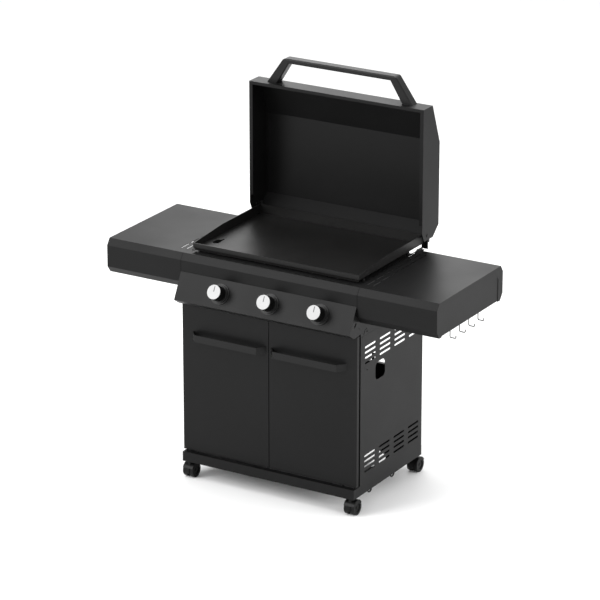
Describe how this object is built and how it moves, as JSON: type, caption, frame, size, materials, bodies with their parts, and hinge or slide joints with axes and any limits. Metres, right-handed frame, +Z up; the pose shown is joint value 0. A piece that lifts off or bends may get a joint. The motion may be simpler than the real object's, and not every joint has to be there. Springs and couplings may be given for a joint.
{
  "type": "outdoor gas griddle station",
  "caption": "Freestanding gas griddle on a cabinet with casters: flat plate under a hinged lid that stands open, sloping control panel, double doors, side shelves with utensil hooks.",
  "frame": {"origin": "on the floor under the middle of the station's bounding box", "axes": "+Z up, +X to the right of someone who faces the controls, -Y towards them"},
  "size_m": [1.4198, 0.6903, 1.5268],
  "materials": {
    "powder_coat": "fine matt black powder coat",
    "dark_coat": "satin black powder coat",
    "griddle_steel": "oil-seasoned black rolled steel",
    "bare_steel": "plain formed steel",
    "wire": "bright plated wire",
    "brass": "machined brass",
    "ceramic": "glazed ceramic sleeve",
    "knob_body": "satin black",
    "knob_cap": "pale satin cap",
    "rubber": "soft black pad",
    "caster_body": "moulded black",
    "wheel": "hard black tread"
  },
  "bodies": {
    "chassis": {"base_pan": "powder_coat", "side_panel_left": "powder_coat", "side_panel_right": "powder_coat", "side_rail_left": "powder_coat", "side_rail_right": "powder_coat", "back_panel": "powder_coat", "rear_crossbar": "powder_coat", "door_header": "powder_coat", "front_rail": "powder_coat", "control_panel": "powder_coat", "shelf_left": "powder_coat", "shelf_right": "powder_coat", "shelf_cap_left": "powder_coat", "shelf_cap_right": "powder_coat", "hinge_brackets": "powder_coat", "bottle_loops": "dark_coat", "firebox": "dark_coat", "heat_shield": "bare_steel", "griddle_feet": "bare_steel", "burner_left": "bare_steel", "burner_middle": "bare_steel", "burner_right": "bare_steel", "manifold": "bare_steel", "grease_chute": "bare_steel", "grease_rails": "bare_steel", "griddle_plate": "griddle_steel", "utensil_hooks": "wire", "igniters": "ceramic", "valve_left": "brass", "valve_middle": "brass", "valve_right": "brass", "knob_bezels": "knob_body", "lid_stops": "rubber"},
    "lid": {"lid_shell": "powder_coat", "lid_end_left": "powder_coat", "lid_end_right": "powder_coat", "lid_handle": "dark_coat"},
    "left_door": {"door_left": "powder_coat", "door_handle_left": "dark_coat"},
    "right_door": {"door_right": "powder_coat", "door_handle_right": "dark_coat"},
    "cup": {"grease_cup": "bare_steel"},
    "left_valve_stem": {"valve_stem_left": "bare_steel"},
    "left_knob": {"knob_left": "knob_body", "knob_cap_left": "knob_cap"},
    "middle_valve_stem": {"valve_stem_middle": "bare_steel"},
    "middle_knob": {"knob_middle": "knob_body", "knob_cap_middle": "knob_cap"},
    "right_valve_stem": {"valve_stem_right": "bare_steel"},
    "right_knob": {"knob_right": "knob_body", "knob_cap_right": "knob_cap"},
    "front_left_caster": {"caster_front_left": "caster_body"},
    "front_left_wheels": {"wheels_front_left": "wheel"},
    "front_right_caster": {"caster_front_right": "caster_body"},
    "front_right_wheels": {"wheels_front_right": "wheel"},
    "rear_left_caster": {"caster_rear_left": "caster_body"},
    "rear_left_wheels": {"wheels_rear_left": "wheel"},
    "rear_right_caster": {"caster_rear_right": "caster_body"},
    "rear_right_wheels": {"wheels_rear_right": "wheel"}
  },
  "joints": [
    {"name": "lid_hinge", "type": "hinge", "parent": "chassis", "child": "lid", "pos_m": [-0.00985, 0.26146, 0.933], "axis": [1, 0, 0], "range_deg": [0, 90]},
    {"name": "left_door_hinge", "type": "hinge", "parent": "chassis", "child": "left_door", "pos_m": [-0.37185, -0.24954, 0.112], "axis": [0, 0, -1], "range_deg": [0, 110]},
    {"name": "right_door_hinge", "type": "hinge", "parent": "chassis", "child": "right_door", "pos_m": [0.35215, -0.24954, 0.112], "axis": [0, 0, 1], "range_deg": [0, 110]},
    {"name": "cup_slide", "type": "slide", "parent": "chassis", "child": "cup", "axis": [0, -1, 0], "range_m": [0, 0.075]},
    {"name": "left_valve_turn", "type": "hinge", "parent": "chassis", "child": "left_valve_stem", "pos_m": [-0.19805, -0.28884, 0.7706], "axis": [0, -0.8885, 0.4589], "range_deg": [0, 270]},
    {"name": "left_knob_push", "type": "slide", "parent": "left_valve_stem", "child": "left_knob", "axis": [0, 0.8885, -0.4589], "range_m": [0, 0.003], "stiffness_N_per_m": 1500, "springref_m": -0.003},
    {"name": "middle_valve_turn", "type": "hinge", "parent": "chassis", "child": "middle_valve_stem", "pos_m": [0.01275, -0.28884, 0.7706], "axis": [0, -0.8885, 0.4589], "range_deg": [0, 270]},
    {"name": "middle_knob_push", "type": "slide", "parent": "middle_valve_stem", "child": "middle_knob", "axis": [0, 0.8885, -0.4589], "range_m": [0, 0.003], "stiffness_N_per_m": 1500, "springref_m": -0.003},
    {"name": "right_valve_turn", "type": "hinge", "parent": "chassis", "child": "right_valve_stem", "pos_m": [0.22355, -0.28884, 0.7706], "axis": [0, -0.8885, 0.4589], "range_deg": [0, 270]},
    {"name": "right_knob_push", "type": "slide", "parent": "right_valve_stem", "child": "right_knob", "axis": [0, 0.8885, -0.4589], "range_m": [0, 0.003], "stiffness_N_per_m": 1500, "springref_m": -0.003},
    {"name": "front_left_swivel", "type": "hinge", "parent": "chassis", "child": "front_left_caster", "pos_m": [-0.35885, -0.25384, 0.06], "axis": [0, 0, 1], "continuous": true},
    {"name": "front_left_roll", "type": "hinge", "parent": "front_left_caster", "child": "front_left_wheels", "pos_m": [-0.35885, -0.24284, 0.028], "axis": [1, 0, 0], "continuous": true},
    {"name": "front_right_swivel", "type": "hinge", "parent": "chassis", "child": "front_right_caster", "pos_m": [0.33915, -0.25384, 0.06], "axis": [0, 0, 1], "continuous": true},
    {"name": "front_right_roll", "type": "hinge", "parent": "front_right_caster", "child": "front_right_wheels", "pos_m": [0.33915, -0.24284, 0.028], "axis": [1, 0, 0], "continuous": true},
    {"name": "rear_left_swivel", "type": "hinge", "parent": "chassis", "child": "rear_left_caster", "pos_m": [-0.35885, 0.22096, 0.06], "axis": [0, 0, 1], "continuous": true},
    {"name": "rear_left_roll", "type": "hinge", "parent": "rear_left_caster", "child": "rear_left_wheels", "pos_m": [-0.35885, 0.23196, 0.028], "axis": [1, 0, 0], "continuous": true},
    {"name": "rear_right_swivel", "type": "hinge", "parent": "chassis", "child": "rear_right_caster", "pos_m": [0.33915, 0.22096, 0.06], "axis": [0, 0, 1], "continuous": true},
    {"name": "rear_right_roll", "type": "hinge", "parent": "rear_right_caster", "child": "rear_right_wheels", "pos_m": [0.33915, 0.23196, 0.028], "axis": [1, 0, 0], "continuous": true}
  ]
}
